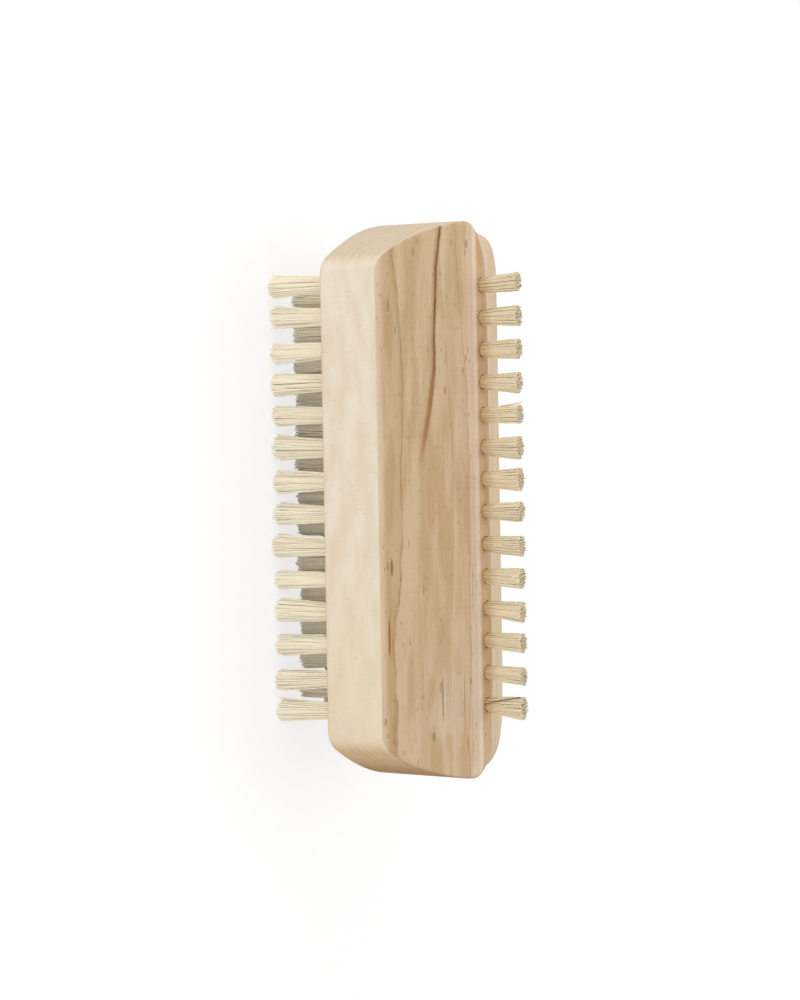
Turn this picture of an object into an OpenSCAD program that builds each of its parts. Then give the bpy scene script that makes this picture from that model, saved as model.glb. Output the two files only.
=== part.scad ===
// Two-sided nail brush: a beech body, a single row of short tufts on the crest
// and a wide field of longer tufts underneath. Every tuft is folded over a flat
// metal anchor and sits in its own blind hole. Millimetres, +Z up. The scrub
// bristles stand on Z = 0, the length runs along X and the depth along Y.

/* [Wood body] */
// Length of the body over its curved ends
body_l = 95; // [84:1:120]
// Depth of the body from front side to back side
body_w = 40; // [36:1:50]
// Height of the body from its flat underside to the crest
body_h = 20; // [18:0.5:26]
// Height of the upright sides below the slopes
side_h = 11.2; // [9:0.1:13]
// Width of the flat crest that carries the nail row
land_w = 3.4; // [3.2:0.1:5]
// Radius of the curved ends, seen from above
end_r = 32; // [28:1:60]
// Radius of the upright corners between sides and ends
corner_r = 4; // [1:0.5:6]
// Radius that eases the crest down at both ends
crest_r = 4; // [1:0.5:5]
// Radius that eases the underside up at both ends
base_r = 2; // [0.5:0.5:3]

/* [Nail row] */
// Number of tufts in the nail row
nail_count = 14; // [8:1:14]
// Distance from an end of the body to the middle of its first nail tuft
nail_margin = 11.75; // [10.5:0.25:14]
// Free length of the nail bristles above the crest
nail_len = 7.8; // [5:0.1:12]
// How far a nail tuft spreads at its tips, as a radius
nail_tip_r = 1.35; // [1:0.05:1.8]

/* [Scrub field] */
// Number of tufts in each outer row of the scrub field
scrub_count = 14; // [8:1:14]
// Distance from an end of the body to the middle of its first scrub tuft
scrub_margin = 11.1; // [10.5:0.1:14]
// Distance from one scrub row to the next
row_gap = 6.8; // [5:0.1:7.2]
// Free length of the scrub bristles below the body
scrub_len = 13; // [8:0.5:20]
// How far a scrub tuft spreads at its tips, as a radius
scrub_tip_r = 1.7; // [1:0.05:1.8]
// How far the tips of an outermost row lean outwards
outer_lean = 1; // [0:0.1:2]
// Length trimmed off the scrub tips, which leaves them flat
scrub_trim = 0.5; // [0.2:0.1:1]

/* [Drilling] */
// Diameter of every blind hole
hole_d = 2.6; // [2.2:0.1:2.8]
// Depth of the holes in the crest
nail_hole_depth = 7.5; // [6:0.5:8]
// Depth of the holes in the underside
scrub_hole_depth = 7.5; // [6:0.5:8]
// How far all drilled rows sit off the middle of the length
field_shift = -0.8; // [-2:0.1:2]

/* [Anchors] */
// Length of a flat anchor, which bites into both sides of its hole
anchor_l = 3.2; // [3.1:0.05:3.4]
// Thickness of an anchor
anchor_t = 0.35; // [0.25:0.05:0.5]
// Height of an anchor along its hole
anchor_h = 1.6; // [1.2:0.1:2]
// Fibre that is folded under an anchor
fold_h = 1; // [0.6:0.1:1.4]

/* [Hidden] */
// Gap between a fitted piece and its seat, on each side
fit_gap = 0.05;
// Depth by which strands are rooted in their backing slice
root_depth = 0.4;
// Overrun of every cut
cut_over = 0.5;
// Ring on which the outer strands of a tuft stand, as a share of the slice
ring_share = 0.66;
// Half width of a strand at its root and at its tip, as shares of the slice
root_share = 0.29;
tip_share = 0.32;
// Strands in a tuft: one in the middle and the rest around it
ring_strands = 5;
// Sides of a strand
sides = 3;
// Heights of the rings along a strand, as shares of the untrimmed length
ring_height_shares = [0.5, 1];
// Turn from one tuft to the next, so that no two tufts look alike
tuft_angle = 137.5;
// Rows of the scrub field, counted from the middle row
even_rows = [-2, 0, 2];
odd_rows = [-1, 1];
curve_fn = 96;
hole_fn = 32;

half_l = body_l / 2;
half_w = body_w / 2;
half_land = land_w / 2;
// Distance from tuft to tuft along the nail row and along a scrub row
nail_pitch = (body_l - 2 * nail_margin) / (nail_count - 1);
scrub_pitch = (body_l - 2 * scrub_margin) / (scrub_count - 1);
base_z = scrub_len;
crest_z = base_z + body_h;
plug_r = hole_d / 2 - fit_gap;
ring_r = ring_share * plug_r;

// Middle of the arc of an end, and of the corner arc that runs into it
end_x = half_l - end_r;
corner_y = half_w - corner_r;
corner_x = end_x + sqrt(pow(end_r - corner_r, 2) - pow(corner_y, 2));
// Where the corner arc meets the arc of the end
meet_x = end_x + (corner_x - end_x) * end_r / (end_r - corner_r);
meet_y = corner_y * end_r / (end_r - corner_r);

line_count = 2 * scrub_count - 1;
function two_digits(n) = n < 10 ? str("0", n) : str(n);
function nail_name(i) = str("nail_tuft_", two_digits(i + 1));
function line_name(i) = str("scrub_line_", two_digits(i + 1));

// Places of the tufts. A scrub line runs across the brush, and every other
// line is moved to the gaps between the rows.
function nail_x(i) = field_shift + (i - (nail_count - 1) / 2) * nail_pitch;
function line_x(i) = field_shift + (i - (line_count - 1) / 2) * scrub_pitch / 2;
function line_rows(i) = i % 2 == 0 ? even_rows : odd_rows;
function row_lean(row) = outer_lean * row / max(even_rows);

// Outline of the body from above: sides, curved ends and rounded corners
module plan_outline() {
    square([2 * corner_x, body_w], center = true);
    for (end = [-1, 1]) {
        intersection() {
            translate([end * end_x, 0]) circle(end_r, $fn = curve_fn);
            translate([end * half_l / 2, 0]) square([half_l, 2 * meet_y], center = true);
        }
        for (side = [-1, 1])
            translate([end * corner_x, side * corner_y]) circle(corner_r, $fn = curve_fn);
    }
}

// Section of the body: flat underside, upright sides, two slopes and the crest
module section_outline() {
    polygon([
        [-half_w, 0], [half_w, 0], [half_w, side_h],
        [half_land, body_h], [-half_land, body_h], [-half_w, side_h]
    ]);
}

// Outline of the body from the front, with the eased crest and underside
module front_outline() {
    polygon([
        [-half_l, base_r], [-half_l + base_r, 0], [half_l - base_r, 0], [half_l, base_r],
        [half_l, body_h - crest_r], [half_l - crest_r, body_h],
        [-half_l + crest_r, body_h], [-half_l, body_h - crest_r]
    ]);
    for (end = [-1, 1]) {
        translate([end * (half_l - crest_r), body_h - crest_r]) circle(crest_r, $fn = curve_fn);
        translate([end * (half_l - base_r), base_r]) circle(base_r, $fn = curve_fn);
    }
}

// Blind hole with the two grooves that its anchor cuts on the way in.
// The mouth is at the origin and the hole runs down.
module drilling(depth) {
    translate([0, 0, -depth]) cylinder(h = depth + cut_over, d = hole_d, $fn = hole_fn);
    groove_depth = depth - fold_h + fit_gap;
    translate([-anchor_l / 2 - fit_gap, -anchor_t / 2 - fit_gap, -groove_depth])
        cube([anchor_l + 2 * fit_gap, anchor_t + 2 * fit_gap, groove_depth + cut_over]);
}

module anchor(depth) {
    translate([-anchor_l / 2, -anchor_t / 2, fold_h - depth]) cube([anchor_l, anchor_t, anchor_h]);
}

// Corners of one strand, ring by ring from its root to its tip. It stands at
// the distance root_at from the middle of the tuft and ends at tip_at.
function strand_points(len, trim, root_at, tip_at, lean, turn) = let(
    heights = concat([0], ring_height_shares)
) [
    for (h = heights) let(
        share = min(h, len / (len + trim)),
        bend = pow(share, 2),
        at = root_at + (tip_at - root_at) * bend,
        half = plug_r * (root_share + (tip_share - root_share) * share),
        z = h == 0 ? -root_depth : share * (len + trim)
    ) for (k = [0:sides - 1]) [
        at * cos(turn) + half * cos(turn + k * 360 / sides),
        at * sin(turn) + half * sin(turn + k * 360 / sides) + lean * bend,
        z
    ]
];

strand_faces = let(rings = len(ring_height_shares)) concat(
    [[for (k = [0:sides - 1]) k]],
    [[for (k = [0:sides - 1]) rings * sides + sides - 1 - k]],
    [for (j = [0:rings - 1], k = [0:sides - 1])
        [j * sides + k, (j + 1) * sides + k, (j + 1) * sides + (k + 1) % sides]],
    [for (j = [0:rings - 1], k = [0:sides - 1])
        [j * sides + k, (j + 1) * sides + (k + 1) % sides, j * sides + (k + 1) % sides]]
);

// A tuft with its mouth at the origin: the slice of packed fibre in the hole,
// with the window for its anchor, and the free strands above it
module tuft(depth, len, trim, tip_r, lean, turn) {
    difference() {
        translate([0, 0, -depth + fit_gap]) cylinder(h = depth - fit_gap, r = plug_r, $fn = hole_fn);
        translate([-plug_r - cut_over, -anchor_t / 2 - fit_gap, fold_h - depth - fit_gap])
            cube([2 * (plug_r + cut_over), anchor_t + 2 * fit_gap, anchor_h + 2 * fit_gap]);
    }
    polyhedron(strand_points(len, trim, 0, 0, lean, turn), strand_faces);
    for (s = [0:ring_strands - 1])
        polyhedron(
            strand_points(len, trim, ring_r, tip_r, lean, turn + s * 360 / ring_strands),
            strand_faces
        );
}

module place_nail(i) {
    translate([nail_x(i), 0, crest_z]) children();
}

module place_scrub(i, row) {
    translate([line_x(i), row * row_gap, base_z]) mirror([0, 0, 1]) children();
}

module wood_body() {
    color("burlywood") difference() {
        translate([0, 0, base_z]) intersection() {
            linear_extrude(body_h) plan_outline();
            rotate([90, 0, 90]) translate([0, 0, -half_l]) linear_extrude(body_l) section_outline();
            rotate([90, 0, 0]) translate([0, 0, -half_w]) linear_extrude(body_w) front_outline();
        }
        for (i = [0:nail_count - 1]) place_nail(i) drilling(nail_hole_depth);
        for (i = [0:line_count - 1], row = line_rows(i)) place_scrub(i, row) drilling(scrub_hole_depth);
    }
}

module nail_anchors() {
    color("silver") for (i = [0:nail_count - 1]) place_nail(i) anchor(nail_hole_depth);
}

module scrub_anchors() {
    color("silver") for (i = [0:line_count - 1], row = line_rows(i))
        place_scrub(i, row) anchor(scrub_hole_depth);
}

module nail_tuft(i) {
    color("palegoldenrod") place_nail(i)
        tuft(nail_hole_depth, nail_len, 0, nail_tip_r, 0, i * tuft_angle);
}

module scrub_line(i) {
    color("wheat") for (row = line_rows(i)) place_scrub(i, row)
        tuft(scrub_hole_depth, scrub_len, scrub_trim, scrub_tip_r, row_lean(row), (i + row) * tuft_angle);
}

wood_body();
nail_anchors();
scrub_anchors();
for (i = [0:nail_count - 1])
    nail_tuft(i);
for (i = [0:line_count - 1])
    scrub_line(i);
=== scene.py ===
import math

import bmesh
import bpy
import numpy as np
from mathutils import Matrix, Vector


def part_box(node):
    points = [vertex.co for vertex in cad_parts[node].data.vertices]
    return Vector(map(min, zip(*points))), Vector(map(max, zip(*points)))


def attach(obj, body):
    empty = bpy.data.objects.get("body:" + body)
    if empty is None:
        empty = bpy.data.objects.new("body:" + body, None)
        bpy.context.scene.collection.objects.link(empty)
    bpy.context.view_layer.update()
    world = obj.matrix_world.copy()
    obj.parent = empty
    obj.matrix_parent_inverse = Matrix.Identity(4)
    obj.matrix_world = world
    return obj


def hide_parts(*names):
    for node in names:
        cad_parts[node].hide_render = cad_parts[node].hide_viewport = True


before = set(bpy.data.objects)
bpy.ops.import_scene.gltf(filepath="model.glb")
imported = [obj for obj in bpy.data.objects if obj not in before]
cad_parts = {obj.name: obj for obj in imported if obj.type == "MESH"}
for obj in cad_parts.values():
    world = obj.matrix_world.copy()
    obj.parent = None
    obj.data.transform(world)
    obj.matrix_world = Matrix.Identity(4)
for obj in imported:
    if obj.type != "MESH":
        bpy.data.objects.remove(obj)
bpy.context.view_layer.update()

MM = 0.001
SEED = 7
rng = np.random.default_rng(SEED)

# The view of the photograph. The brush stands upright in its own frame, and the
# picture shows it lying on its side, so the camera is rolled by a quarter turn.
VIEW_DISTANCE = 456.35 * MM
VIEW_ELEVATION = math.radians(32.48)
VIEW_AZIMUTH = math.radians(2.59)
VIEW_ROLL = math.radians(0.42)
VIEW_MIDDLE_Z = 23.0 * MM
VIEW_DROP = 6.10 * MM
VIEW_ASIDE = 0.09 * MM
LENS = 95.33
SENSOR = 36.0
CLIP_START = 0.01

# The beech body
BODY_LO, BODY_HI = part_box("wood_body")
HALF_L = BODY_HI.x / MM
HALF_W = BODY_HI.y / MM
BASE_Z = BODY_LO.z / MM
CREST_Z = BODY_HI.z / MM
SIDE_H = 11.2
HALF_LAND = 1.7
END_R = 32.0
CORNER_R = 4.0
SLOPE_EDGE_R = 0.45
CREST_EDGE_R = 0.35
CREST_EDGE_TURNS = (4.0, 12.0)
BASE_EDGE_R = 0.8
BASE_END_R = 2.0

# The far corners of both ends are worn rounder than the near ones. For the -x and
# the +x end: the radius of the crest's end on its near and its far side and the
# span of y between them, then the radius along the far slope's end and its span
CREST_ENDS = [(1.9, 8.5, -2.9, 2.5), (1.8, 6.7, -2.9, 2.5)]
SLOPE_ENDS = [(1.1, -1.7, 0.9), (2.4, 0.1, 3.5)]
SLOPE_END_X = (31.5, 39.5)

# The drilling, which the tufts and their anchors fill. The slots that an anchor
# cuts on its way in close behind it, down to a thin slit. The cutters start outside
# the mouth, and a point that lies surely in the wood belongs to a packed slice
HOLE_R = 1.3
HOLE_DEPTH = 7.5
SLOT_L = 3.3
SLOT_W = 0.45
SLIT_W = 0.04
SLOT_TOP = 4.8
HOLE_SIDES = 28
CUTTER_PAST_MOUTH = 2.0
SURELY_IN_WOOD = 1.0

# The body's mesh: how many points its plan and its section take, and how far they
# crowd towards the edges
END_POINTS = 40
CORNER_POINTS = 14
SIDE_POINTS = 60
FLAT_POINTS = 22
SLOPE_POINTS = 30
LAND_POINTS = 7
CROWDING = 0.85

# Distances within which points are joined, and angles above which an edge looks sharp
BLANK_JOINS = 0.002 * MM
CUTTER_JOINS = 0.0001 * MM
DRILLED_JOINS = 0.0002 * MM
BODY_SHARP = math.radians(40)
FIBRE_SHARP = math.radians(60)

SIDE_END_X = HALF_L - END_R
CORNER_Y = HALF_W - CORNER_R
CORNER_X = SIDE_END_X + math.sqrt((END_R - CORNER_R) ** 2 - CORNER_Y ** 2)
SLOPE_TILT = math.atan2(CREST_Z - BASE_Z - SIDE_H, HALF_W - HALF_LAND)


def smooth_step(low, high, value):
    """0 at low, 1 at high and an even rise between."""
    share = np.clip((value - low) / (high - low), 0, 1)
    return share * share * (3 - 2 * share)


def rounded_meet(a, b, radius):
    """Distance to the space inside both a and b, with a rounded edge between them."""
    corner = np.hypot(np.maximum(a + radius, 0), np.maximum(b + radius, 0))
    return np.minimum(np.maximum(a, b), -radius) + corner


def edge_radii(p):
    """Radii in millimetres at the crest's ends, along the slopes and at the underside."""
    x, y = np.abs(p[:, 0]), p[:, 1]
    at_slope = smooth_step(*CREST_EDGE_TURNS, np.abs(y))
    edge = CREST_EDGE_R + (SLOPE_EDGE_R - CREST_EDGE_R) * at_slope
    reach = smooth_step(*SLOPE_END_X, x)
    crest, slope = [], []
    for near_r, far_r, near_y, far_y in CREST_ENDS:
        crest.append(near_r + (far_r - near_r) * smooth_step(near_y, far_y, y))
    for far_r, near_y, far_y in SLOPE_ENDS:
        slope.append(edge + (far_r - edge) * smooth_step(near_y, far_y, y) * reach)
    base = BASE_EDGE_R + (BASE_END_R - BASE_EDGE_R) * smooth_step(CORNER_X, HALF_L - BASE_END_R, x)
    left = p[:, 0] < 0
    return np.where(left, *crest), np.where(left, *slope), base


def body_distance(p):
    """Signed distance in millimetres from the surface of the body, below 0 inside."""
    x, y, z = np.abs(p[:, 0]), np.abs(p[:, 1]), p[:, 2]
    corner_x, corner_y = x - CORNER_X, y - CORNER_Y
    end = np.hypot(x - SIDE_END_X, y) - END_R
    corner = np.hypot(corner_x, corner_y) - CORNER_R
    past_ray = corner_y * (CORNER_X - SIDE_END_X) - corner_x * CORNER_Y > 0
    plan = np.where(x < CORNER_X, np.maximum(y - HALF_W, end), np.where(past_ray, corner, end))
    slope_z = z - BASE_Z - SIDE_H
    slope = (y - HALF_W) * math.sin(SLOPE_TILT) + slope_z * math.cos(SLOPE_TILT)
    crest_r, slope_r, base_r = edge_radii(p)
    top = rounded_meet(plan, z - CREST_Z, crest_r)
    top = rounded_meet(top, slope, slope_r)
    return rounded_meet(top, BASE_Z - z, base_r)


def settle(points, rounds=14, step=1e-3, least=0.2):
    """Moves points on to the surface of the body, along the slope of its distance. The
    slope's square counts as at least the given value, which limits each move."""
    p = points.copy()
    for _ in range(rounds):
        here = body_distance(p)
        slope = np.empty_like(p)
        for axis in range(3):
            q = p.copy()
            q[:, axis] += step
            slope[:, axis] = (body_distance(q) - here) / step
        size = np.maximum((slope ** 2).sum(axis=1), least)
        p -= slope * (here / size)[:, None]
    return p


def half_outline():
    """Points (x, half width) of the plan from one tip to the other."""
    arc_end = math.atan2(CORNER_Y, CORNER_X - SIDE_END_X)
    arc = np.linspace(0, arc_end, END_POINTS)
    end = [(SIDE_END_X + END_R * math.cos(t), END_R * math.sin(t)) for t in arc]
    turn = np.linspace(arc_end, math.pi / 2, CORNER_POINTS)[1:]
    corner = [(CORNER_X + CORNER_R * math.cos(t), CORNER_Y + CORNER_R * math.sin(t)) for t in turn]
    straight = [(x, HALF_W) for x in np.linspace(CORNER_X, -CORNER_X, SIDE_POINTS)[1:-1]]
    half = end + corner
    return half + straight + [(-x, y) for x, y in reversed(half)]


def crowded_shares(count):
    """Shares from 0 to 1, closer together near both ends."""
    t = np.linspace(0, 1, count)
    return t - CROWDING * np.sin(2 * math.pi * t) / (2 * math.pi)


def section_points(half_width):
    """Points (y, z) of the front half of the section, from the base to the crest."""
    land = min(HALF_LAND, half_width)
    side_top = min(BASE_Z + SIDE_H + (HALF_W - half_width) * math.tan(SLOPE_TILT), CREST_Z)
    flat = crowded_shares(FLAT_POINTS)
    base = [(half_width * s, BASE_Z) for s in flat]
    side = [(half_width, BASE_Z + (side_top - BASE_Z) * s) for s in flat[1:]]
    slope = [
        (half_width + (land - half_width) * s, side_top + (CREST_Z - side_top) * s)
        for s in crowded_shares(SLOPE_POINTS)[1:]
    ]
    crest = [(land * (1 - s), CREST_Z) for s in np.linspace(0, 1, LAND_POINTS)[1:]]
    return base + side + slope + crest


def make_mesh(name, points, faces, material):
    """A new piece from points in millimetres."""
    mesh = bpy.data.meshes.new(name)
    mesh.from_pydata([tuple(p) for p in np.asarray(points) * MM], [], faces)
    mesh.validate()
    mesh.materials.append(material)
    piece = bpy.data.objects.new(name, mesh)
    bpy.context.scene.collection.objects.link(piece)
    return piece


def body_blank():
    """The body before drilling: loops across its length, settled on its surface."""
    loops = []
    for x, half_width in half_outline():
        front = section_points(half_width)
        back = [(-y, z) for y, z in reversed(front)][1:-1]
        loops.append([(x, y, z) for y, z in front + back])
    count = len(loops[0])
    points = settle(np.array(loops, float).reshape(-1, 3))
    faces = []
    for i in range(len(loops) - 1):
        for j in range(count):
            k = (j + 1) % count
            faces.append((i * count + j, i * count + k, (i + 1) * count + k, (i + 1) * count + j))
    return points, faces


def slice_middles(node):
    """Middle (x, y) in millimetres of each packed slice of fibre in a CAD node."""
    co = np.array([v.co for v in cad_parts[node].data.vertices]) / MM
    inside = co[(co[:, 2] > BASE_Z + SURELY_IN_WOOD) & (co[:, 2] < CREST_Z - SURELY_IN_WOOD)]
    inside = inside[np.argsort(inside[:, 1])]
    gaps = np.where(np.diff(inside[:, 1]) > HOLE_R)[0] + 1
    return [tuple((g[:, :2].min(axis=0) + g[:, :2].max(axis=0)) / 2) for g in np.split(inside, gaps)]


NAIL_NODES = sorted(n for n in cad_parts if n.startswith("nail_tuft_"))
SCRUB_NODES = sorted(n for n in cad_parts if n.startswith("scrub_line_"))
NAIL_PLACES = {n: slice_middles(n) for n in NAIL_NODES}
SCRUB_PLACES = {n: slice_middles(n) for n in SCRUB_NODES}


def slotted_circle(x, y, slot_w):
    """A round hole with the two slots of its anchor, as one outline round (x, y)."""
    wide_turn, turn = math.asin(SLOT_W / 2 / HOLE_R), math.asin(slot_w / 2 / HOLE_R)
    turns = [turn, *np.linspace(wide_turn, math.pi - wide_turn, HOLE_SIDES // 2), math.pi - turn]
    half = [(SLOT_L / 2, slot_w / 2)] + [(HOLE_R * math.cos(t), HOLE_R * math.sin(t)) for t in turns]
    half.append((-SLOT_L / 2, slot_w / 2))
    return [(x + dx, y + dy) for dx, dy in half] + [(x - dx, y - dy) for dx, dy in half]


def stepped_prism(levels, offset):
    """Points and faces of an upright prism through (outline, z) levels, counted on from offset."""
    n = len(levels[0][0])
    points = [(x, y, z) for outline, z in levels for x, y in outline]
    last = offset + n * (len(levels) - 1)
    faces = [tuple(offset + k for k in reversed(range(n))), tuple(last + k for k in range(n))]
    for base in range(offset, last, n):
        for k in range(n):
            m = (k + 1) % n
            faces.append((base + k, base + m, base + n + m, base + n + k))
    return points, faces


def drilling_mesh(name, material):
    """Cutters for every blind hole, with the seats and slits of the anchors."""
    jobs = [(p, CREST_Z, -1) for n in NAIL_NODES for p in NAIL_PLACES[n]]
    jobs += [(p, BASE_Z, 1) for n in SCRUB_NODES for p in SCRUB_PLACES[n]]
    points, faces = [], []
    for (x, y), mouth, inwards in jobs:
        wide, narrow = slotted_circle(x, y, SLOT_W), slotted_circle(x, y, SLIT_W)
        top = mouth + inwards * SLOT_TOP
        levels = [
            (wide, mouth + inwards * HOLE_DEPTH),
            (wide, top),
            (narrow, top),
            (narrow, mouth - inwards * CUTTER_PAST_MOUTH),
        ]
        more_points, more_faces = stepped_prism(levels[::-inwards], len(points))
        points += more_points
        faces += more_faces
    return make_mesh(name, points, faces, material)


def apply_modifiers(piece):
    """Puts the result of the modifiers into the mesh."""
    graph = bpy.context.evaluated_depsgraph_get()
    done = bpy.data.meshes.new_from_object(piece.evaluated_get(graph))
    piece.modifiers.clear()
    old = piece.data
    piece.data = done
    bpy.data.meshes.remove(old)


def merge_doubles(piece, distance):
    """Joins points that lie on each other, such as where the loops close at the tips,
    and turns all faces outwards."""
    bm = bmesh.new()
    bm.from_mesh(piece.data)
    bmesh.ops.remove_doubles(bm, verts=bm.verts, dist=distance)
    bmesh.ops.dissolve_degenerate(bm, edges=bm.edges, dist=distance)
    bmesh.ops.recalc_face_normals(bm, faces=bm.faces)
    bm.to_mesh(piece.data)
    bm.free()


def split_wide_faces(piece):
    """Cuts the faces with many corners, which lie round the holes, into triangles."""
    bm = bmesh.new()
    bm.from_mesh(piece.data)
    wide = [face for face in bm.faces if len(face.verts) > 4]
    bmesh.ops.triangulate(bm, faces=wide, ngon_method="BEAUTY")
    bm.to_mesh(piece.data)
    bm.free()


def make_body(material):
    """The drilled and eased beech body."""
    points, faces = body_blank()
    body = make_mesh("beech_body", points, faces, material)
    merge_doubles(body, BLANK_JOINS)
    cutter = drilling_mesh("drilling", material)
    merge_doubles(cutter, CUTTER_JOINS)
    cut = body.modifiers.new("drilling", "BOOLEAN")
    cut.operation = "DIFFERENCE"
    cut.solver = "EXACT"
    cut.object = cutter
    apply_modifiers(body)
    bpy.data.objects.remove(cutter)
    merge_doubles(body, DRILLED_JOINS)
    split_wide_faces(body)
    body.data.shade_smooth()
    body.data.set_sharp_from_angle(angle=BODY_SHARP)
    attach(body, "root")
    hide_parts("wood_body")


# The sockets of a mix node that serve for colours
MIX_SHARE = 0
MIX_A = 6
MIX_B = 7
MIX_COLOUR = 2


class Shader:
    """Short calls for the nodes of one material or world."""

    def __init__(self, owner):
        owner.use_nodes = True
        self.owner = owner
        self.tree = owner.node_tree
        self.tree.nodes.clear()

    def node(self, kind, inputs=None, **settings):
        made = self.tree.nodes.new(kind)
        for key, value in settings.items():
            setattr(made, key, value)
        for key, value in (inputs or {}).items():
            self.feed(made.inputs[key], value)
        return made

    def feed(self, socket, value):
        if isinstance(value, bpy.types.NodeSocket):
            self.tree.links.new(value, socket)
        else:
            socket.default_value = value

    def math(self, operation, a, b=0.0, c=0.0, clamp=False):
        made = self.node("ShaderNodeMath", operation=operation, use_clamp=clamp)
        for socket, value in zip(made.inputs, (a, b, c)):
            self.feed(socket, value)
        return made.outputs[0]

    def step(self, value, low, high):
        """0 where value is low or less, 1 where it is high or more."""
        made = self.node("ShaderNodeMapRange", interpolation_type="SMOOTHSTEP")
        self.feed(made.inputs["Value"], value)
        made.inputs["From Min"].default_value = min(low, high)
        made.inputs["From Max"].default_value = max(low, high)
        made.inputs["To Min"].default_value = 0.0 if low < high else 1.0
        made.inputs["To Max"].default_value = 1.0 if low < high else 0.0
        return made.outputs["Result"]

    def times(self, value, *others):
        for other in others:
            value = self.math("MULTIPLY", value, other)
        return value

    def between(self, value, rise, fall):
        """1 where value lies between the spans over which it rises and falls."""
        return self.times(self.step(value, *rise), self.step(value, *fall))

    def mix(self, share, a, b):
        made = self.node("ShaderNodeMix", data_type="RGBA", clamp_factor=True)
        self.feed(made.inputs[MIX_SHARE], share)
        self.feed(made.inputs[MIX_A], a)
        self.feed(made.inputs[MIX_B], b)
        return made.outputs[MIX_COLOUR]

    def tint(self, colour, share, strength, towards):
        """Takes a colour towards another, by a share times a strength."""
        return self.mix(self.times(share, strength), colour, towards)

    def in_mm(self, place):
        """Object coordinates in millimetres."""
        inputs = {0: place.outputs["Object"], "Scale": 1 / MM}
        return self.node("ShaderNodeVectorMath", inputs, operation="SCALE").outputs[0]

    def vector(self, x, y, z):
        made = self.node("ShaderNodeCombineXYZ")
        for socket, value in zip(made.inputs, (x, y, z)):
            self.feed(socket, value)
        return made.outputs[0]

    def noise(self, vector, scale=1.0, detail=2.0, roughness=0.5):
        inputs = {"Vector": vector, "Scale": scale, "Detail": detail, "Roughness": roughness}
        return self.node("ShaderNodeTexNoise", inputs).outputs["Fac"]

    def cells(self, vector):
        made = self.node("ShaderNodeTexVoronoi", {"Vector": vector, "Scale": 1.0})
        return made.outputs["Distance"], made.outputs["Color"]

    def bump(self, height, strength, distance):
        """Relief in the shading alone. The distance is in millimetres."""
        inputs = {"Height": height, "Strength": strength, "Distance": distance * MM}
        return self.node("ShaderNodeBump", inputs).outputs[0]

    def surface(self, **inputs):
        made = self.node("ShaderNodeBsdfPrincipled")
        for key, value in inputs.items():
            self.feed(made.inputs[key.replace("_", " ")], value)
        out = self.node("ShaderNodeOutputMaterial")
        self.tree.links.new(made.outputs[0], out.inputs[0])


def grey(value):
    return (value, value, value, 1)


def srgb(r, g, b):
    """A colour written in 0 to 255 as the linear one that nodes take."""
    parts = []
    for value in (r, g, b):
        c = value / 255
        parts.append(c / 12.92 if c <= 0.04045 else ((c + 0.055) / 1.055) ** 2.4)
    return (*parts, 1.0)


# Colours of the wood
SLOPE_LIGHT = srgb(220, 194, 161)
SLOPE_DARK = srgb(199, 167, 127)
SLOPE_LINE = srgb(170, 134, 94)
SLOPE_DASH = srgb(142, 104, 66)
# Painted highlights along the rounded long edges of the slopes, at the crest and next to the sides
EDGE_HIGHLIGHT = srgb(232, 207, 180)
PALE_PATCH = srgb(224, 206, 180)
# A thin painted highlight line beside the crest
CREST_HIGHLIGHT_LINE = srgb(238, 218, 196)
# The far slope painted paler, as a painted sheen
FAR_SLOPE_SHEEN = srgb(226, 201, 168)
# The land between the nail tufts, painted darker as the shade that falls between them
LAND_SHADE_LIGHT = srgb(216, 184, 141)
LAND_SHADE_DARK = srgb(203, 166, 121)
# The sides are paler than the slopes, partly as radial wood and partly as painted light
SIDE_LIGHT = srgb(233, 221, 202)
SIDE_DARK = srgb(226, 210, 186)
SIDE_WARM = srgb(228, 208, 172)
SIDE_LINE = srgb(206, 184, 152)
SIDE_FLECK = srgb(198, 180, 150)
STREAK_THIN = srgb(124, 82, 46)
STREAK_BROAD = srgb(160, 112, 70)
LEFT_END = [srgb(221, 206, 181), srgb(199, 178, 147)]
RIGHT_END_NEAR = [srgb(230, 199, 156), srgb(210, 176, 131)]
# The far part of the +x end, painted darker as shade
RIGHT_END_SHADED = [srgb(185, 141, 96), srgb(161, 117, 75)]
END_LINE = srgb(150, 112, 74)
END_RAY = srgb(226, 198, 160)

# Colours of the fibres: light, dark, at the tip and at the root, where the root's colour is partly
# painted shade
NAIL_FIBRE = [srgb(236, 223, 194), srgb(226, 210, 177), srgb(231, 221, 199), srgb(200, 170, 120)]
SCRUB_FIBRE = [srgb(251, 245, 228), srgb(244, 235, 212), srgb(250, 244, 228), srgb(244, 233, 206)]
BROWN_FIBRE = srgb(126, 96, 60)

# The anchors' steel, and the scales of its lines in steps a metre
STEEL = [srgb(150, 148, 142), srgb(206, 204, 198)]
STEEL_LINES = (200.0, 6000.0, 6000.0)

# The brown streak in the near slope, in millimetres: its path as (x, y) points, where it
# fades out and where it gets broader, its half widths, the shares of these between which
# its core ends, the distances between which its halo does, how far the halo lies aside
# and how far the streak shivers
STREAK_PATH = [
    (-47.0, -8.1), (-42.3, -8.72), (-39.97, -9.03), (-33.94, -9.32), (-28.08, -9.6), (-22.05, -9.71),
    (-18.87, -10.12), (-16.2, -10.53), (-13.86, -10.93), (-10.6, -11.55), (-7.5, -12.1), (-5.0, -12.4),
]
STREAK_FADE_X = (-5.0, -14.0)
STREAK_BROAD_X = (-25.0, -19.0)
STREAK_HALF_W = (0.24, 0.42)
STREAK_CORE_ENDS = (1.25, 0.45)
STREAK_HALO_ENDS = (0.75, 0.1)
STREAK_HALO_ASIDE = 0.15
STREAK_SHIVER_SIZE = 0.35

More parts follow.
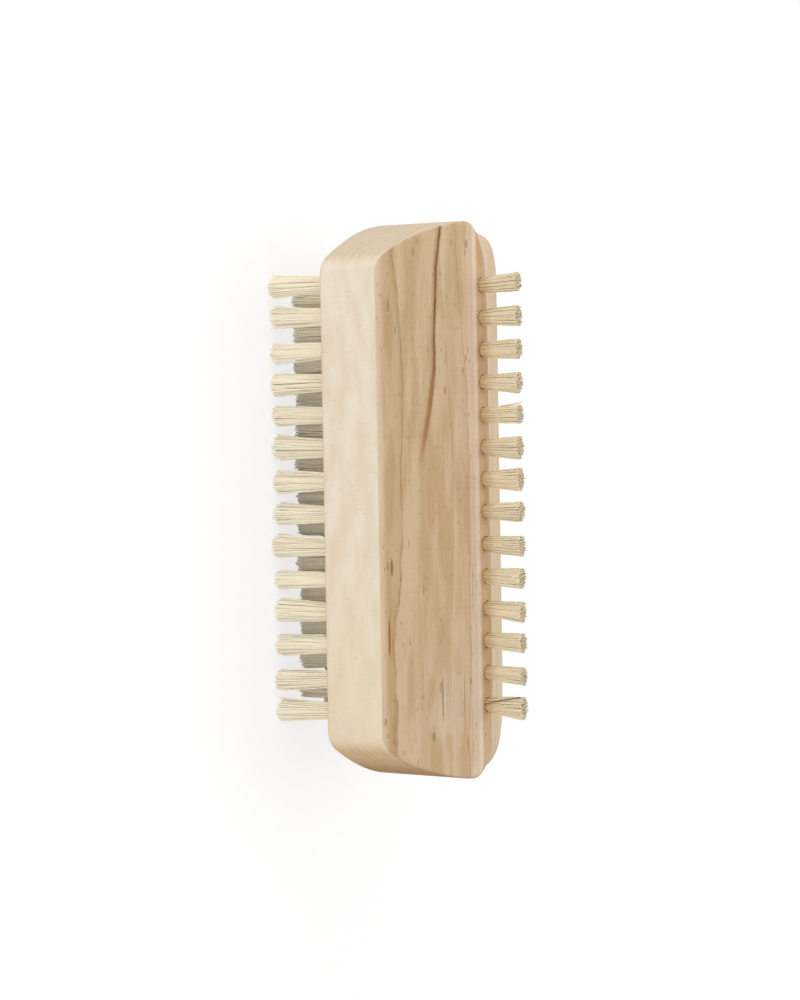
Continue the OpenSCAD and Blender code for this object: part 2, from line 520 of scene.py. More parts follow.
# Shorter marks as (x, y, half length, half width, strength), and the shares of their
# size, squared, between which they end
MARKS = [
    (22.2, -18.4, 3.6, 0.2, 1.0),
    (10.6, -17.8, 1.6, 0.28, 0.85),
    (10.3, -18.5, 0.8, 0.16, 0.5),
    (33.4, -9.05, 4.2, 0.16, 0.75),
    (31.2, -9.4, 1.2, 0.3, 0.4),
    (34.0, -5.1, 5.5, 0.1, 0.6),
    (41.2, -4.6, 1.8, 0.12, 0.5),
    (30.6, -3.9, 0.7, 0.2, 0.5),
    (36.2, -19.3, 0.7, 0.25, 0.6),
    (38.6, -19.0, 0.5, 0.2, 0.5),
    (39.5, -10.8, 0.9, 0.3, 0.55),
    (39.7, -17.9, 0.5, 0.2, 0.45),
    (29.8, -12.6, 3.2, 0.09, 0.4),
    (22.9, -14.8, 1.1, 0.12, 0.5),
    (14.6, -12.2, 1.0, 0.14, 0.5),
    (6.9, -14.7, 0.9, 0.13, 0.45),
    (15.0, -3.3, 5.5, 0.07, 0.5),
    (-18.8, -7.8, 0.8, 0.26, 0.5),
    (-22.0, -4.5, 0.8, 0.13, 0.65),
    (-24.2, -3.9, 0.7, 0.12, 0.65),
    (-25.5, -3.5, 0.6, 0.12, 0.6),
    (-28.9, -16.5, 0.8, 0.14, 0.5),
    (-33.0, -17.7, 1.2, 0.2, 0.5),
    (-41.9, -3.8, 0.6, 0.16, 0.4),
    (-43.4, -3.55, 0.8, 0.35, 0.45),
    (-42.0, -13.1, 0.9, 0.18, 0.5),
    (-43.5, -6.3, 0.7, 0.2, 0.4),
]
MARK_ENDS = (1.2, 0.4)

# The growth rings: their pith and their gap in millimetres, the shares of a gap over
# which their lines and soft bands rise and fall, and what makes them wander, as the
# scales of a pattern, its detail and its size in millimetres
PITH_Y = 2.0
PITH_Z = -62.0
RING_GAP = 1.45
RING_LINE = ((0.91, 0.965), (1.0, 0.98))
RING_BAND = ((0.3, 0.95), (1.0, 0.97))
RING_WANDER = [
    ((0.014, 0.05, 0.05), 1.0, 3.0),
    ((0.1, 0.3, 0.3), 2.0, 0.4),
    ((0.45, 0.8, 0.8), 2.0, 0.14),
]

# Where the wood's looks change, as the places in millimetres between which they do.
# The first is a height. The next four are distances from the crest's middle line, of
# which the band and the strip have one span for each of their edges. The crest's band and
# strip and the edge band bound painted highlights, and the land bounds painted shade.
UNDERSIDE_TOP = (BASE_Z + 5.0, BASE_Z + 9.0)
CREST_HIGHLIGHT_BAND = ((1.45, 1.75), (3.9, 3.3))
CREST_HIGHLIGHT_STRIP = ((1.65, 1.85), (2.7, 2.35))
CREST_LAND = (1.75, 1.6)
EDGE_HIGHLIGHT_BAND = (18.3, 19.5)
NEAR_Y = (-0.5, -1.5)
FAR_SHEEN_Y = (1.5, 1.9)
DARKER_Y = (-8.0, -14.0)
PALE_X = (20.0, 38.0)
PALE_Y = (-15.0, -10.0)
WARMER_X = (0.0, 40.0)
RIGHT_X = (-5.0, 5.0)
RIGHT_END_SHADE_Y = (-18.5, -9.0)

# How far a face looks along x to count as an end, and along z as a slope
END_FACING = (0.25, 0.85)
SLOPE_FACING = (0.45, 0.7)

# Scales of the wood's patterns along x, y and z, in steps a millimetre
RING_BREAKS = (0.22, 1.2, 1.2)
GRAIN = (0.3, 6.5, 6.5)
COMBED = (0.08, 0.5, 0.5)
CLOUDS = (0.05, 0.4, 0.4)
PALE_CLOUDS = (0.06, 0.16, 0.16)
STREAK_SHIVER_SCALES = (0.9, 0, 0)
STREAK_CLOUDS = (0.35, 0.6, 0.6)
STREAK_SPECKS = (0.7, 5.0, 5.0)
SIDE_CLOUDS = (0.1, 0.2, 0.3)
PORES = (1.0, 7.0, 7.0)

# The scales of the pale rays in the ends, round the pith and up
RAYS_ROUND = 520.0
RAYS_UP = 0.3

# Scattered marks: their scales, their size in a cell and the share of the cells with one
DASHES = ((0.55, 3.0, 3.0), 0.3, 0.4)
FINE_DASHES = ((1.0, 6.0, 6.0), 0.34, 0.5)
SIDE_FLECKS = ((2.6, 0.35, 0.55), 0.4, 0.55)
SIDE_TICKS = ((0.8, 3.0, 4.2), 0.3, 0.3)


class Beech(Shader):
    """The wood's material. Its patterns run through the whole block, and each kind of face
    takes its colour from them."""

    def __init__(self):
        super().__init__(bpy.data.materials.new("beech"))
        place = self.node("ShaderNodeTexCoord")
        split = self.node("ShaderNodeSeparateXYZ", {"Vector": self.in_mm(place)})
        facing = self.node("ShaderNodeSeparateXYZ", {"Vector": place.outputs["Normal"]})
        self.x, self.y, self.z = split.outputs
        end_facing, _, slope_facing = [self.math("ABSOLUTE", c) for c in facing.outputs]
        self.on_end = self.step(end_facing, *END_FACING)
        self.on_slope = self.step(slope_facing, *SLOPE_FACING)
        self.above = self.step(self.z, *UNDERSIDE_TOP)
        self.line, self.band, self.ring_tone = self.growth_rings()
        self.grain = self.pattern(GRAIN, detail=4.0, roughness=0.7)
        self.pores = self.pattern(PORES, detail=3.0, roughness=0.7)
        self.clouds = self.pattern(CLOUDS)
        self.dash = self.scattered(*DASHES)

    def pattern(self, scales, detail=2.0, roughness=0.5):
        return self.noise(self.along(scales), detail=detail, roughness=roughness)

    def along(self, scales):
        return self.vector(*[self.times(c, scale) for c, scale in zip((self.x, self.y, self.z), scales)])

    def scattered(self, scales, size, share):
        """Short marks: a share of the cells of a stretched pattern, each with its own strength."""
        far, kind = self.cells(self.along(scales))
        luck = self.node("ShaderNodeSeparateColor", {"Color": kind})
        return self.times(self.step(far, size, size * 0.4), self.step(luck.outputs[0], 1 - share, 1.0))

    def from_pith(self):
        return self.math("SUBTRACT", self.y, PITH_Y), self.math("SUBTRACT", self.z, PITH_Z)

    def growth_rings(self):
        """Growth rings round a pith far below: the thin lines of their late wood, soft bands
        that darken towards the lines, and a tone from 0 to 1 that each ring has to itself."""
        wander = 0.0
        for scales, detail, size in RING_WANDER:
            wander = self.math("ADD", wander, self.times(self.pattern(scales, detail=detail), size))
        dy, dz = self.from_pith()
        radius = self.math("SQRT", self.math("ADD", self.times(dy, dy), self.times(dz, dz)))
        rings = self.math("DIVIDE", self.math("ADD", radius, wander), RING_GAP)
        share = self.math("FRACT", rings)
        luck = self.node("ShaderNodeTexWhiteNoise", noise_dimensions="1D")
        self.feed(luck.inputs["W"], self.math("FLOOR", rings))
        own = self.node("ShaderNodeSeparateColor", {"Color": luck.outputs["Color"]})
        strength = self.math("MULTIPLY_ADD", own.outputs[0], 0.7, 0.3)
        line = self.times(self.between(share, *RING_LINE), strength)
        band = self.times(self.between(share, *RING_BAND), strength)
        unbroken = self.step(self.pattern(RING_BREAKS, detail=3.0), 0.36, 0.6)
        line = self.times(line, self.math("MULTIPLY_ADD", unbroken, 0.8, 0.2))
        return line, band, own.outputs[1]

    def streak_line(self):
        """The y of the brown streak's middle at each x."""
        curve = self.node("ShaderNodeFloatCurve")
        first, last = STREAK_PATH[0][0], STREAK_PATH[-1][0]
        share = self.math("DIVIDE", self.math("SUBTRACT", self.x, first), last - first, clamp=True)
        self.feed(curve.inputs["Value"], share)
        line = curve.mapping.curves[0]
        shares = [((px - first) / (last - first), -py / HALF_W) for px, py in STREAK_PATH]
        line.points[0].location = shares[0]
        line.points[1].location = shares[-1]
        for place_x, place_y in shares[1:-1]:
            line.points.new(place_x, place_y)
        curve.mapping.update()
        return self.times(curve.outputs[0], -HALF_W)

    def streak(self):
        """The brown streak, a thin dark line at first, then broader and redder: its core, the
        soft halo round it and how broad it is, each from 0 to 1."""
        shiver = self.math("SUBTRACT", self.pattern(STREAK_SHIVER_SCALES, detail=3.0), 0.5)
        across = self.math("SUBTRACT", self.y, self.streak_line())
        across = self.math("SUBTRACT", across, self.times(shiver, STREAK_SHIVER_SIZE))
        off = self.math("ABSOLUTE", across)
        halo_off = self.math("ABSOLUTE", self.math("ADD", across, STREAK_HALO_ASIDE))
        broad = self.step(self.x, *STREAK_BROAD_X)
        thin, wide = STREAK_HALF_W
        half = self.math("MULTIPLY_ADD", broad, wide - thin, thin)
        core = self.step(self.math("DIVIDE", off, half), *STREAK_CORE_ENDS)
        halo = self.times(self.step(halo_off, *STREAK_HALO_ENDS), 0.5)
        uneven = self.math("MULTIPLY_ADD", self.pattern(STREAK_CLOUDS, detail=3.0), 0.9, 0.05)
        uneven = self.math("MULTIPLY_ADD", self.pattern(STREAK_SPECKS), 0.7, uneven)
        core = self.math("MULTIPLY", core, uneven, clamp=True)
        fade = self.step(self.x, *STREAK_FADE_X)
        return self.times(core, fade), self.times(halo, fade), broad

    def spots(self):
        """The shorter dark marks."""
        spots = 0.0
        for mark_x, mark_y, half_l, half_w, strength in MARKS:
            mx = self.math("DIVIDE", self.math("SUBTRACT", self.x, mark_x), half_l)
            my = self.math("DIVIDE", self.math("SUBTRACT", self.y, mark_y), half_w)
            away = self.math("MULTIPLY_ADD", mx, mx, self.times(my, my))
            spots = self.math("MAXIMUM", spots, self.times(self.step(away, *MARK_ENDS), strength))
        return spots

    def plain_slope(self):
        """Flat-sawn wood: clouds, rings and combed grain, darker at the front, with a pale
        patch to the right, and at the back a painted sheen that makes the far slope paler."""
        depth = self.times(self.step(self.clouds, 0.38, 0.62), 0.65)
        depth = self.math("MULTIPLY_ADD", self.ring_tone, 0.35, depth)
        depth = self.math("MULTIPLY_ADD", self.step(self.y, *DARKER_Y), 0.25, depth, clamp=True)
        colour = self.mix(depth, SLOPE_LIGHT, SLOPE_DARK)
        pale = self.times(self.step(self.x, *PALE_X), self.step(self.pattern(PALE_CLOUDS), 0.42, 0.56))
        pale = self.times(pale, self.step(self.y, *PALE_Y))
        colour = self.tint(colour, pale, 0.6, PALE_PATCH)
        colour = self.tint(colour, self.band, 0.16, SLOPE_LINE)
        combed = self.times(self.step(self.grain, 0.42, 0.75), self.step(self.pattern(COMBED), 0.3, 0.7))
        colour = self.tint(colour, combed, 0.42, SLOPE_LINE)
        colour = self.tint(colour, self.line, 0.7, SLOPE_LINE)
        # A painted sheen makes the far slope paler
        far = self.times(self.step(self.y, *FAR_SHEEN_Y), self.above)
        return self.tint(colour, far, 0.6, FAR_SLOPE_SHEEN)

    def slope_colour(self, streak, halo, broad, spots):
        """The slopes with the crest between them, and the underside, which is plain. Painted
        highlights lie next to the two long edges of each slope, with a thin painted highlight
        line beside the crest, painted shade darkens the land between the nail tufts, and the
        streak and the dark marks lie over all else."""
        back = self.math("ABSOLUTE", self.y)
        from_crest = self.math("MULTIPLY_ADD", self.math("SUBTRACT", 1.0, self.above), HALF_W, back)
        # Painted highlights at the crest's rounded edges and where the slopes meet the sides
        crest_highlight = self.times(self.between(from_crest, *CREST_HIGHLIGHT_BAND), 0.55)
        edge_highlights = self.math("ADD", crest_highlight, self.times(self.step(back, *EDGE_HIGHLIGHT_BAND), 0.6))
        uneven = self.math("MULTIPLY_ADD", self.grain, -0.8, 1.3)
        colour = self.tint(self.plain_slope(), edge_highlights, uneven, EDGE_HIGHLIGHT)
        # A thin painted highlight line beside the crest
        colour = self.tint(colour, self.between(from_crest, *CREST_HIGHLIGHT_STRIP), 0.6, CREST_HIGHLIGHT_LINE)
        # Painted shade on the land between the nail tufts
        land = self.mix(self.step(self.clouds, 0.4, 0.6), LAND_SHADE_LIGHT, LAND_SHADE_DARK)
        colour = self.mix(self.step(from_crest, *CREST_LAND), colour, land)
        colour = self.tint(colour, self.dash, 0.65, SLOPE_DASH)
        colour = self.tint(colour, self.scattered(*FINE_DASHES), 0.4, SLOPE_DASH)
        colour = self.mix(halo, colour, STREAK_BROAD)
        colour = self.tint(colour, streak, 0.92, self.mix(broad, STREAK_THIN, STREAK_BROAD))
        return self.tint(colour, spots, 0.8, STREAK_THIN)

    def side_colour(self):
        """The upright sides are paler than the slopes, partly as radial wood and partly as
        painted light, since the lamps fall on them more fully; short flecks cross the grain.
        """
        clouds = self.step(self.pattern(SIDE_CLOUDS), 0.35, 0.65)
        colour = self.mix(clouds, SIDE_LIGHT, SIDE_DARK)
        colour = self.tint(colour, self.step(self.x, *WARMER_X), 0.5, SIDE_WARM)
        colour = self.tint(colour, self.step(self.grain, 0.4, 0.75), 0.14, SIDE_LINE)
        colour = self.tint(colour, self.line, 0.16, SIDE_LINE)
        colour = self.tint(colour, self.scattered(*SIDE_FLECKS), 0.28, SIDE_FLECK)
        return self.tint(colour, self.scattered(*SIDE_TICKS), 0.35, SIDE_FLECK)

    def end_colour(self):
        """End grain: pale at the -x end, and warmer at the +x end, where painted shade darkens it
        towards the back. Arcs of the growth rings cross it, and fine pale rays run up it."""
        pores = self.step(self.pores, 0.35, 0.7)
        tones = [self.mix(pores, *tone) for tone in (LEFT_END, RIGHT_END_NEAR, RIGHT_END_SHADED)]
        # Painted shade darkens the +x end towards the back
        right = self.mix(self.step(self.y, *RIGHT_END_SHADE_Y), tones[1], tones[2])
        on_right = self.step(self.x, *RIGHT_X)
        colour = self.mix(on_right, tones[0], right)
        fan = self.times(self.math("DIVIDE", *self.from_pith()), RAYS_ROUND)
        rays = self.noise(self.vector(fan, self.times(self.z, RAYS_UP), 0.0))
        colour = self.tint(colour, self.step(rays, 0.55, 0.7), 0.25, END_RAY)
        rings = self.math("MULTIPLY_ADD", self.line, 0.4, self.times(self.band, 0.3))
        return self.tint(colour, rings, self.math("MULTIPLY_ADD", on_right, 0.35, 0.5), END_LINE)


def beech_material():
    """Beech: the colours of its kinds of face by where these look, and its fine relief."""
    s = Beech()
    near = s.times(s.on_slope, s.above, s.step(s.y, *NEAR_Y))
    core, halo, broad = s.streak()
    streak = s.times(core, near)
    slope = s.slope_colour(streak, s.times(halo, near), broad, s.times(s.spots(), near))
    colour = s.mix(s.on_slope, s.mix(s.on_end, s.side_colour(), s.end_colour()), slope)
    height = s.math("SUBTRACT", s.times(s.grain, 0.5), s.times(s.dash, 0.5))
    height = s.math("SUBTRACT", height, s.times(streak, 0.4))
    height = s.math("ADD", height, s.times(s.pores, 0.25))
    rough = s.math("MULTIPLY_ADD", s.grain, 0.16, 0.6)
    bump = s.bump(height, 0.3, 0.06)
    s.surface(Base_Color=colour, Roughness=rough, Normal=bump, Specular_IOR_Level=0.2)
    return s.owner


def fibre_material(name, light, dark, tip, root):
    """Plant fibre: each strand has its own tone, darker at its root, partly as its own colour
    and partly as painted shade where the tuft leaves the wood, and paler at its tip. A strand
    whose tone lies below 0 is a brown one."""
    s = Shader(bpy.data.materials.new(name))
    tone = s.node("ShaderNodeAttribute", attribute_name="tone").outputs["Fac"]
    rise = s.node("ShaderNodeAttribute", attribute_name="rise").outputs["Fac"]
    place = s.in_mm(s.node("ShaderNodeTexCoord"))
    cloud = s.noise(place, scale=1.3, detail=3.0)
    colour = s.mix(tone, dark, light)
    colour = s.tint(colour, s.step(cloud, 0.45, 0.75), 0.25, dark)
    # Darker roots: partly the fibre's own colour, partly painted shade where the tuft leaves the wood
    colour = s.tint(colour, s.step(rise, 0.45, 0.0), 0.85, root)
    colour = s.tint(colour, s.step(rise, 0.5, 1.0), 0.35, tip)
    colour = s.mix(s.step(tone, -0.2, -0.8), colour, BROWN_FIBRE)
    bump = s.bump(s.noise(place, scale=6.0), 0.2, 0.02)
    rough = s.math("MULTIPLY_ADD", cloud, 0.2, 0.5)
    s.surface(
        Base_Color=colour, Roughness=rough, Normal=bump, Specular_IOR_Level=0.25, Diffuse_Roughness=1.0
    )
    return s.owner


def anchor_material():
    """Drawn steel strip, brushed along its length."""
    s = Shader(bpy.data.materials.new("anchor_steel"))
    place = s.node("ShaderNodeTexCoord")
    stretch = s.node("ShaderNodeMapping", {"Vector": place.outputs["Object"]})
    stretch.inputs["Scale"].default_value = STEEL_LINES
    lines = s.noise(stretch.outputs[0], detail=3.0)
    rough = s.math("MULTIPLY_ADD", lines, 0.2, 0.28)
    bump = s.bump(lines, 0.2, 0.01)
    s.surface(Base_Color=s.mix(lines, *STEEL), Metallic=1.0, Roughness=rough, Normal=bump)
    return s.owner


# The fibres: the shape of their tubes and where their anchors hold them, then how they
# lie in the hole, in millimetres. The heights are measured from the hole's mouth
FIBRE_SIDES = 5
FIBRE_R = 0.112
FIBRE_R_VARIES = (0.85, 1.15)
ROOT_SHARE = 0.9
TIP_SHARE = 1.12
ANCHOR_CLEAR = 0.33
ANCHOR_FOOT = 6.5
PACK_CLEAR = 0.03
PACK_JITTER = 0.03
GATHER_Z = -2.6
PINNED_Z = -5.4
FOLD_DROP = 0.2
OUTER_FOLD_DROP = 0.6
FOLD_SIDE_RISE = 0.12
FOLD_SIDE_SHARE = 0.8

# The free part of a fibre: its points as shares of its length, from the tip down to the
# mouth, and the powers by which it spreads and swings. Few fibres stray, by a share
# of their length
OUT_SHARES = np.array([1.0, 0.8, 0.58, 0.36, 0.16, 0.0])
AT_MOUTH = len(OUT_SHARES) - 1
SPLAY_CURVE = 0.7
SWING_CURVE = 1.6
BOW_SHARE = 0.5
STRAY_SHARE = 0.012
STRAY_SWING = 0.045


def packed_disc(count):
    """Even places (x, y) in the front half of a tuft's round slice, as shares of its radius."""
    places = []
    golden = math.pi * (3 - math.sqrt(5))
    for k in range(2 * count + 2):
        r = math.sqrt((k + 0.5) / (2 * count + 2))
        px, py = r * math.cos(k * golden), r * math.sin(k * golden)
        if py < 0:
            places.append((px, py))
    return np.array(places[:count])


def tuft_paths(folds, length, reach, splay, lean, wild, uneven):
    """Centre lines of one tuft's folded fibres, in millimetres from the mouth of its hole.
    Each runs from a tip down one side of the anchor, under it and up to another tip."""
    packed = (HOLE_R - FIBRE_R - PACK_CLEAR) * packed_disc(folds)
    packed += rng.normal(0, PACK_JITTER, packed.shape)
    other = packed[rng.permutation(folds)] * np.array([1, -1])
    other = other[np.argsort(other[:, 0])][np.argsort(np.argsort(packed[:, 0]))]
    paths = []
    for a, b in zip(packed, other):
        depth = ANCHOR_FOOT + FOLD_DROP + OUTER_FOLD_DROP * min(1, abs(a[1]) / HOLE_R)
        legs = []
        for root in (a, b):
            swing = rng.normal(0, STRAY_SWING * length if rng.random() < STRAY_SHARE else wild, 2)
            bow = rng.normal(0, wild * BOW_SHARE, 2)
            own = min(length * (1 + rng.normal(0, uneven)), reach)
            leg = []
            for share in OUT_SHARES:
                spread = root * (1 + np.array(splay) * share ** SPLAY_CURVE)
                bent = swing * share ** SWING_CURVE + bow * math.sin(math.pi * share)
                leg.append((*(spread + bent + np.array(lean) * share), own * share))
            pinned = math.copysign(1, root[1]) * max(abs(root[1]), ANCHOR_CLEAR)
            leg.append((root[0], root[1] * 0.5 + pinned * 0.5, GATHER_Z))
            leg.append((root[0], pinned, PINNED_Z))
            legs.append(leg)
        down, up = legs
        fold_side_z = -(depth - FOLD_SIDE_RISE)
        foot = [
            (down[-1][0], down[-1][1] * FOLD_SIDE_SHARE, fold_side_z),
            ((a[0] + b[0]) / 2, 0.0, -depth),
            (up[-1][0], up[-1][1] * FOLD_SIDE_SHARE, fold_side_z),
        ]
        paths.append(down + foot + up[::-1])
    return np.array(paths)


def sweep(paths, radii):
    """Points and faces of round tubes along paths of equal length."""
    strands, rings, _ = paths.shape
    tangent = np.gradient(paths, axis=1)
    tangent /= np.linalg.norm(tangent, axis=2, keepdims=True)
    across = np.array([1.0, 0.0, 0.0]) - tangent * tangent[:, :, :1]
    across /= np.linalg.norm(across, axis=2, keepdims=True)
    third = np.cross(tangent, across)
    turn = np.arange(FIBRE_SIDES) * 2 * math.pi / FIBRE_SIDES
    start = rng.uniform(0, 2 * math.pi, strands)[:, None] + turn
    cos = np.cos(start)[:, None, :, None]
    sin = np.sin(start)[:, None, :, None]
    rim = cos * across[:, :, None, :] + sin * third[:, :, None, :]
    points = paths[:, :, None, :] + rim * radii[:, :, None, None]
    faces = []
    for f in range(strands):
        base = f * rings * FIBRE_SIDES
        for i in range(rings - 1):
            for k in range(FIBRE_SIDES):
                m = (k + 1) % FIBRE_SIDES
                low, high = base + i * FIBRE_SIDES, base + (i + 1) * FIBRE_SIDES
                faces.append((low + k, low + m, high + m, high + k))
        faces.append(tuple(base + k for k in reversed(range(FIBRE_SIDES))))
        last = base + (rings - 1) * FIBRE_SIDES
        faces.append(tuple(last + k for k in range(FIBRE_SIDES)))
    return points.reshape(-1, 3), faces


# The tufts of each field: number of folded fibres, free length, longest reach, wildness
# in millimetres and unevenness of the length
NAIL_TUFT = (62, 7.05, 7.7, 0.08, 0.01)
SCRUB_TUFT = (74, 12.75, 12.93, 0.17, 0.02)
# Each nail tuft leans along x in millimetres and spreads by a share of its radius.
# They spread little along y
NAIL_LEANS = [-0.38, -0.08, -0.05, 0.19, -0.05, 0.11, 0.03, -0.06, 0.29, 0.22, 0.49, 0.26, 0.41, 0.32]
NAIL_SPREADS = [0.28, 0.5, 0.47, 0.5, 0.36, 0.65, 0.65, 0.5, 0.5, 0.5, 0.5, 0.43, 0.36, 0.65]
NAIL_SPREAD_Y = 0.08
# The scrub tufts spread along x and y by shares that vary a little. They lean at random
# and outwards, by a millimetre at this distance from the middle line
SCRUB_SPREAD = (0.55, 0.45)
SCRUB_SPREAD_VARIES = 0.12
SCRUB_LEAN_X = 0.3
SCRUB_LEAN_Y = 0.2
SCRUB_LEAN_OUT = 13.6
# The fibres' tones are drawn from a beta distribution with these two numbers
TONES = (2.2, 1.6)
# A brown fibre leans across the front of the last nail tuft
BROWN_NODE = "nail_tuft_14"
BROWN_TONE = -1.0
BROWN_R_SHARE = 0.8
BROWN_LEAN = -1.5
BROWN_LEAN_CURVE = 0.8
BROWN_FORWARD = 0.5


def brown_strand(paths):
    """Picks the front fibre of a tuft and leans it across the tuft."""
    mouth_x, mouth_y = paths[:, AT_MOUTH, 0], paths[:, AT_MOUTH, 1]
    pick = np.argmin(np.hypot(mouth_x, mouth_y + HOLE_R))
    out = slice(0, AT_MOUTH + 1)
    paths[pick, out, 0] = mouth_x[pick] + BROWN_LEAN * OUT_SHARES ** BROWN_LEAN_CURVE
    paths[pick, out, 1] = mouth_y[pick] * (1 + BROWN_FORWARD * OUT_SHARES)
    return pick


def fibre_piece(name, node, places, stances, mouth_z, up, shape, material):
    """All fibres of one CAD node's tufts, as one piece. A stance is a tuft's spread and lean."""
    folds, length, reach, wild, uneven = shape
    all_points, all_faces, tones, rises = [], [], [], []
    offset = 0
    for (x, y), (splay, lean) in zip(places, stances):
        paths = tuft_paths(folds, length, reach, splay, lean, wild, uneven)
        rise = np.clip(paths[:, :, 2] / length, 0, 1)
        strands, rings, _ = paths.shape
        taper = ROOT_SHARE + (TIP_SHARE - ROOT_SHARE) * rise
        radii = FIBRE_R * rng.uniform(*FIBRE_R_VARIES, (strands, 1)) * taper
        tone = rng.beta(*TONES, strands)
        if node == BROWN_NODE:
            pick = brown_strand(paths)
            tone[pick] = BROWN_TONE
            radii[pick] *= BROWN_R_SHARE
        paths[:, :, 2] *= up
        paths += np.array([x, y, mouth_z])
        points, faces = sweep(paths, radii)
        all_points.append(points)
        all_faces += [tuple(offset + v for v in face) for face in faces]
        offset += len(points)
        tones.append(np.repeat(tone, rings * FIBRE_SIDES))
        rises.append(np.repeat(rise.reshape(-1), FIBRE_SIDES))
    piece = make_mesh(name, np.vstack(all_points), all_faces, material)
    for label, values in (("tone", tones), ("rise", rises)):
        attribute = piece.data.attributes.new(label, "FLOAT", "POINT")
        attribute.data.foreach_set("value", np.concatenate(values).astype(np.float32))
    piece.data.shade_smooth()
    piece.data.set_sharp_from_angle(angle=FIBRE_SHARP)
    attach(piece, "root")
    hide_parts(node)
    return piece


def make_tufts():
    """The fibres of the nail row and of the scrub field."""
    nail = fibre_material("nail_fibre", *NAIL_FIBRE)
    scrub = fibre_material("scrub_fibre", *SCRUB_FIBRE)
    for node, lean, spread in zip(NAIL_NODES, NAIL_LEANS, NAIL_SPREADS):
        name = "nail_fibres_" + node.rsplit("_", 1)[1]
        stances = [((spread, NAIL_SPREAD_Y), (lean, 0.0))]
        piece = fibre_piece(name, node, NAIL_PLACES[node], stances, CREST_Z, 1, NAIL_TUFT, nail)
    for node in SCRUB_NODES:
        name = "scrub_fibres_" + node.rsplit("_", 1)[1]
        places = SCRUB_PLACES[node]
        spreads = [np.array(SCRUB_SPREAD) + rng.normal(0, SCRUB_SPREAD_VARIES) for _ in places]
        leans = [
            (rng.normal(0, SCRUB_LEAN_X), y / SCRUB_LEAN_OUT + rng.normal(0, SCRUB_LEAN_Y))
            for _, y in places
        ]
        piece = fibre_piece(name, node, places, list(zip(spreads, leans)), BASE_Z, -1, SCRUB_TUFT, scrub)


def make_camera():
    """The camera at the photograph's angle, on its side as the picture is."""
    e, a, r = VIEW_ELEVATION, VIEW_AZIMUTH, VIEW_ROLL
    forward = Vector((math.sin(a) * math.cos(e), math.cos(a) * math.cos(e), -math.sin(e)))
    right = Vector((math.cos(a), -math.sin(a), 0))
    up = right.cross(forward)
    target = Vector((0, 0, VIEW_MIDDLE_Z)) - up * VIEW_DROP + right * VIEW_ASIDE
    picture_right = up * math.cos(r) - right * math.sin(r)
    picture_up = -(up * math.sin(r) + right * math.cos(r))
    data = bpy.data.cameras.new("camera")
    data.lens = LENS
    data.sensor_width = SENSOR
    data.clip_start = CLIP_START
    camera = bpy.data.objects.new("camera", data)
    turn = Matrix((picture_right, picture_up, -forward)).transposed().to_4x4()
    camera.matrix_world = Matrix.Translation(target - forward * VIEW_DISTANCE) @ turn
    bpy.context.scene.collection.objects.link(camera)
    bpy.context.scene.camera = camera


def area_lamp(name, direction, distance, size, factor):
    """A soft square lamp that looks at the middle of the brush."""
    data = bpy.data.lights.new(name, "AREA")
    data.shape = "SQUARE"
    data.size = size
    data.energy = factor * math.pi * math.pi * distance ** 2
    lamp = bpy.data.objects.new(name, data)
    towards = Vector(direction).normalized()
    lamp.location = towards * distance + Vector((0, 0, VIEW_MIDDLE_Z))
    lamp.rotation_mode = "QUATERNION"
    lamp.rotation_quaternion = towards.to_track_quat("Z", "Y")
    bpy.context.scene.collection.objects.link(lamp)


def choose(s, lit, seen, output):
    """Light comes from lit, while camera, glossy and transmission rays meet seen."""
    path = s.node("ShaderNodeLightPath")
    share = s.math("ADD", path.outputs["Is Camera Ray"], path.outputs["Is Glossy Ray"])
    share = s.math("ADD", share, path.outputs["Is Transmission Ray"], clamp=True)
    choice = s.node("ShaderNodeMixShader", {"Fac": share})
    s.tree.links.new(lit.outputs[0], choice.inputs[1])
    s.tree.links.new(seen.outputs[0], choice.inputs[2])
    s.tree.links.new(choice.outputs[0], s.node(output).inputs[0])


# The floor: half its length in metres, its height in millimetres, the light it throws
# back, and what the camera sees of it, which is a shade and a glow. The glow grows between
# two distances in metres from the brush, so that the floor ends as white as the surround
FLOOR_REACH = 3.0
FLOOR_Z = -0.05
FLOOR_THROWS = 0.86
FLOOR_SHADE = 0.34
FLOOR_GLOW = 0.74
FLOOR_GLOW_GROWS = 0.14
FLOOR_WHITENS = (0.12, 0.6)

# The light of the surround and how white it looks
SURROUND_THROWS = 0.46
SURROUND_SEEN = 1.0

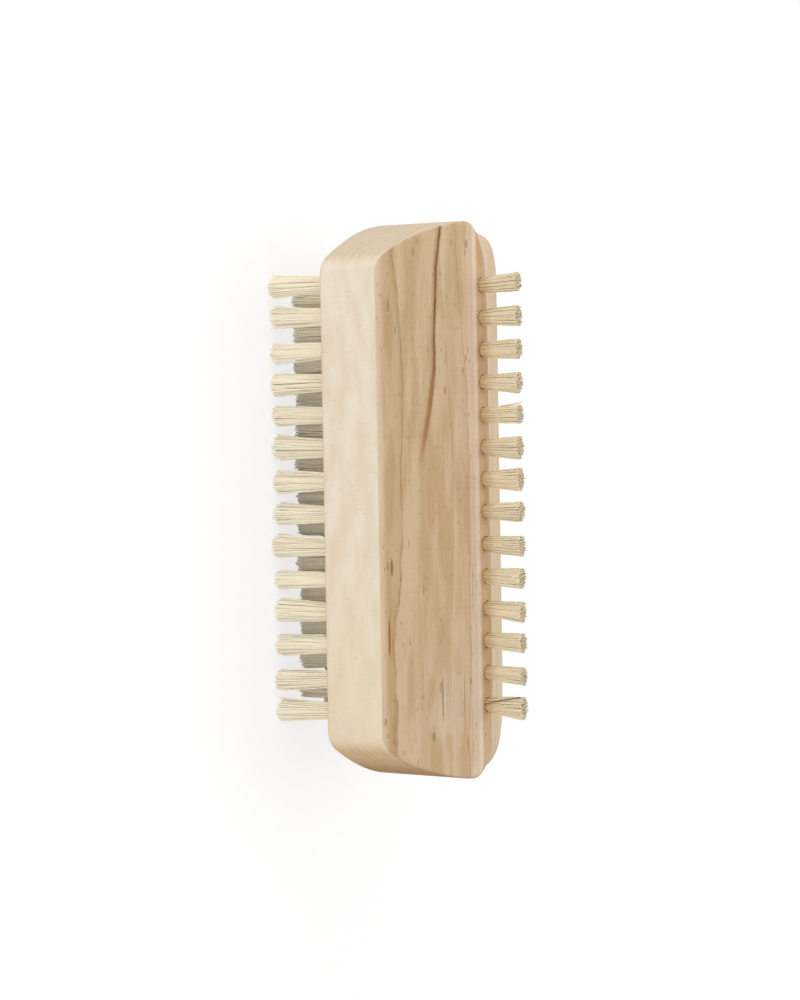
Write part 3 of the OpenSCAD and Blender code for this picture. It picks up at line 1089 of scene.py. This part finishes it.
# Lamps: name, direction, distance and size in metres, and the factor at which a white
# surface that faces the lamp renders
LAMPS = [
    ("key", (-0.5, -0.9, 0.32), 0.9, 0.5, 0.12),
    ("front", (0.05, -1.0, 0.14), 0.9, 0.5, 0.42),
    ("left", (-1.0, -0.1, 0.3), 0.9, 0.5, 0.28),
    ("back", (0.1, 1.0, 0.35), 1.0, 0.6, 0.15),
    ("fill", (-0.2, 0.5, 0.8), 1.1, 0.9, 0.26),
]


def make_floor():
    """The floor throws light back as pale paper does, and looks nearly white."""
    s = Shader(bpy.data.materials.new("floor"))
    mat = s.node("ShaderNodeBsdfDiffuse", {"Color": grey(FLOOR_THROWS)})
    pale = s.node("ShaderNodeBsdfDiffuse", {"Color": grey(FLOOR_SHADE)})
    place = s.node("ShaderNodeNewGeometry").outputs["Position"]
    away = s.node("ShaderNodeVectorMath", {0: place}, operation="LENGTH").outputs["Value"]
    strength = s.math("MULTIPLY_ADD", s.step(away, *FLOOR_WHITENS), FLOOR_GLOW_GROWS, FLOOR_GLOW)
    glow = s.node("ShaderNodeEmission", {"Color": grey(1), "Strength": strength})
    both = s.node("ShaderNodeAddShader")
    s.tree.links.new(pale.outputs[0], both.inputs[0])
    s.tree.links.new(glow.outputs[0], both.inputs[1])
    choose(s, mat, both, "ShaderNodeOutputMaterial")
    reach = FLOOR_REACH / MM
    signs = [(-1, -1), (1, -1), (1, 1), (-1, 1)]
    corners = [(sx * reach, sy * reach, FLOOR_Z) for sx, sy in signs]
    make_mesh("floor", corners, [(0, 1, 2, 3)], s.owner)


def make_stage():
    """A pale floor, a white surround and soft studio light."""
    make_floor()
    s = Shader(bpy.data.worlds.new("surround"))
    soft = s.node("ShaderNodeBackground", {"Color": grey(1), "Strength": SURROUND_THROWS})
    white = s.node("ShaderNodeBackground", {"Color": grey(1), "Strength": SURROUND_SEEN})
    choose(s, soft, white, "ShaderNodeOutputWorld")
    bpy.context.scene.world = s.owner
    for lamp in LAMPS:
        area_lamp(*lamp)


def dress_anchors():
    """Gives the anchors' own solids their steel."""
    steel = anchor_material()
    for node in ("nail_anchors", "scrub_anchors"):
        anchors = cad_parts[node]
        anchors.data.materials.clear()
        anchors.data.materials.append(steel)


make_camera()
make_stage()
bpy.context.scene.view_settings.view_transform = "Standard"
make_body(beech_material())
make_tufts()
dress_anchors()
